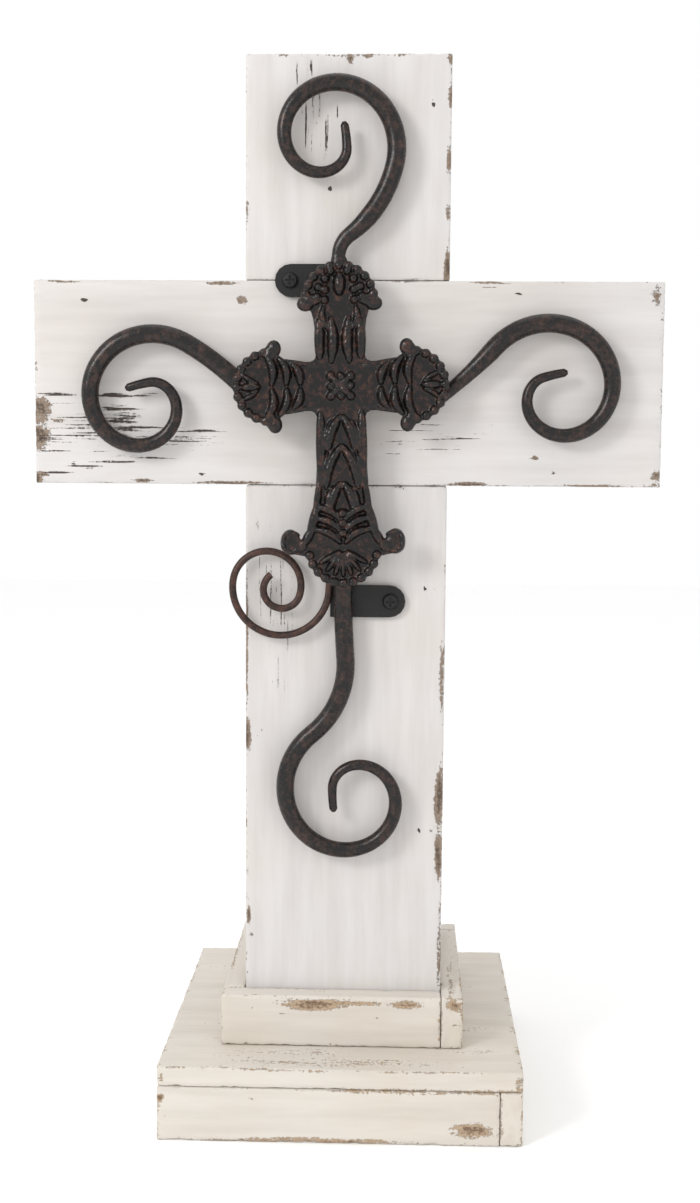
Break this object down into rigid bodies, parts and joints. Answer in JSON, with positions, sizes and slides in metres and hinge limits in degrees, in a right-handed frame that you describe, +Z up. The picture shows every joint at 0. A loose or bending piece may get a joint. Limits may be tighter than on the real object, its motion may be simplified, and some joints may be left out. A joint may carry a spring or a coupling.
{
  "type": "standing cross",
  "caption": "Distressed white painted wooden cross on a stepped square plinth, with a dark iron scroll cross screwed to its front.",
  "frame": {"origin": "middle of the plinth's underside, on the surface it stands on", "axes": "+Z up the post, -Y out of the front with the ironwork, +X to the viewer's right"},
  "size_m": [0.31, 0.18, 0.53],
  "materials": {
    "painted_wood": "matt white paint, cracked, chipped and rubbed through to grey brown wood",
    "plinth_wood": "matt cream white paint, rubbed through to tan wood along its edges",
    "wrought_iron": "dark brown black iron with rust and a worn satin shine",
    "rusty_wire": "reddish brown rusted iron wire",
    "black_fixing": "black satin"
  },
  "bodies": {
    "root": {"front_stub": "painted_wood", "front_beam": "painted_wood", "front_shaft": "painted_wood", "back_stub": "painted_wood", "back_beam": "painted_wood", "back_shaft": "painted_wood", "stub_side_left": "painted_wood", "stub_side_right": "painted_wood", "shaft_side_left": "painted_wood", "shaft_side_right": "painted_wood", "arm_top_left": "painted_wood", "arm_top_right": "painted_wood", "arm_bottom_left": "painted_wood", "arm_bottom_right": "painted_wood", "arm_end_left": "painted_wood", "arm_end_right": "painted_wood", "top_cap": "painted_wood", "step_front": "plinth_wood", "step_right": "plinth_wood", "step_back": "plinth_wood", "step_left": "plinth_wood", "base_panel": "plinth_wood", "base_front": "plinth_wood", "base_right": "plinth_wood", "base_back": "plinth_wood", "base_left": "plinth_wood", "top_scroll": "wrought_iron", "left_scroll": "wrought_iron", "right_scroll": "wrought_iron", "bottom_scroll": "wrought_iron", "medallion": "wrought_iron", "wire_spiral": "rusty_wire", "upper_tab": "black_fixing", "lower_tab": "black_fixing", "upper_screw": "black_fixing", "lower_screw": "black_fixing"}
  },
  "joints": []
}
